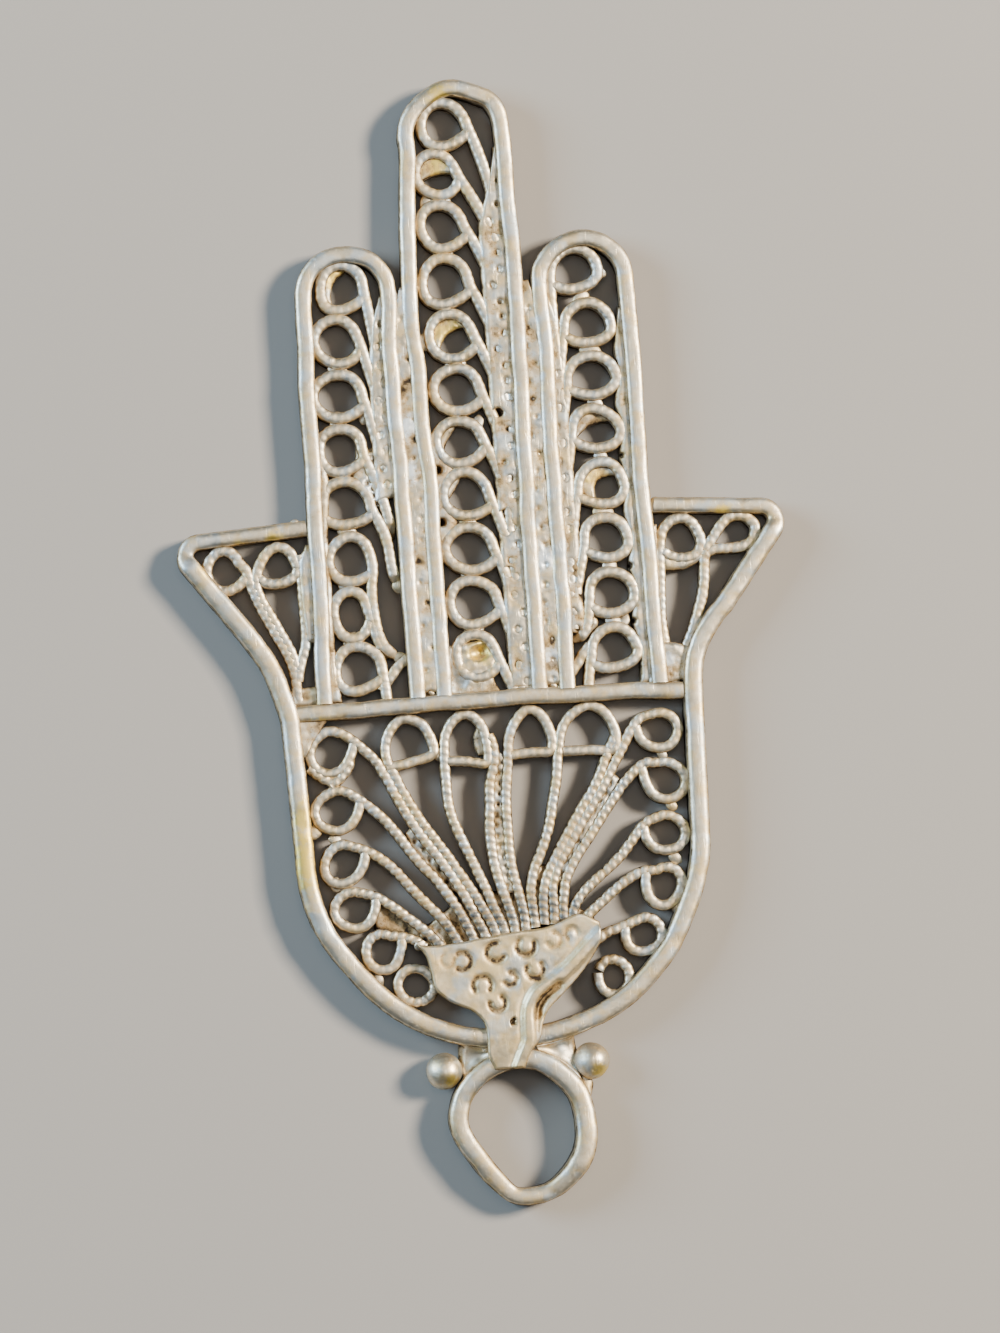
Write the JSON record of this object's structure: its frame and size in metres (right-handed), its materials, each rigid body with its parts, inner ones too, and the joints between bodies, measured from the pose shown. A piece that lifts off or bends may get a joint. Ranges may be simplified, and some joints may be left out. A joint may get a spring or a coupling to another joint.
{
  "type": "pendant",
  "caption": "Openwork hand-shaped silver filigree pendant: wire-framed palm, fingers and thumbs filled with looped scrolls, a stamped fan plate and a fixed bail ring at the wrist",
  "frame": {"origin": "middle of the outline seen from the front, on the flat back that the pendant lies on", "axes": "+Z out of the front, +Y along the middle finger away from the bail ring, +X to the right seen from the front"},
  "size_m": [0.0326, 0.0604, 0.0023],
  "materials": {
    "frame_silver": "worn silver wire, soft polish on the crowns, warm tarnish at the solder lines",
    "filigree_silver": "milled silver ribbon, bright upper edges and dark oxidised sides",
    "plate_silver": "stamped sheet silver, satin, grey in the stamping",
    "solder_silver": "flat grey solder, dull and slightly grainy"
  },
  "bodies": {
    "root": {"hand_rim": "frame_silver", "cross_bar": "frame_silver", "left_finger_frame": "frame_silver", "middle_finger_frame": "frame_silver", "right_finger_frame": "frame_silver", "left_twisted_wire": "filigree_silver", "right_twisted_wire": "filigree_silver", "left_finger_scrolls": "filigree_silver", "middle_finger_scrolls": "filigree_silver", "right_finger_scrolls": "filigree_silver", "left_thumb_scrolls": "filigree_silver", "right_thumb_scrolls": "filigree_silver", "palm_scrolls": "filigree_silver", "fan_plate": "plate_silver", "bail_ring": "frame_silver", "left_ball_seat": "solder_silver", "right_ball_seat": "solder_silver", "left_ball": "frame_silver", "right_ball": "frame_silver"}
  },
  "joints": []
}
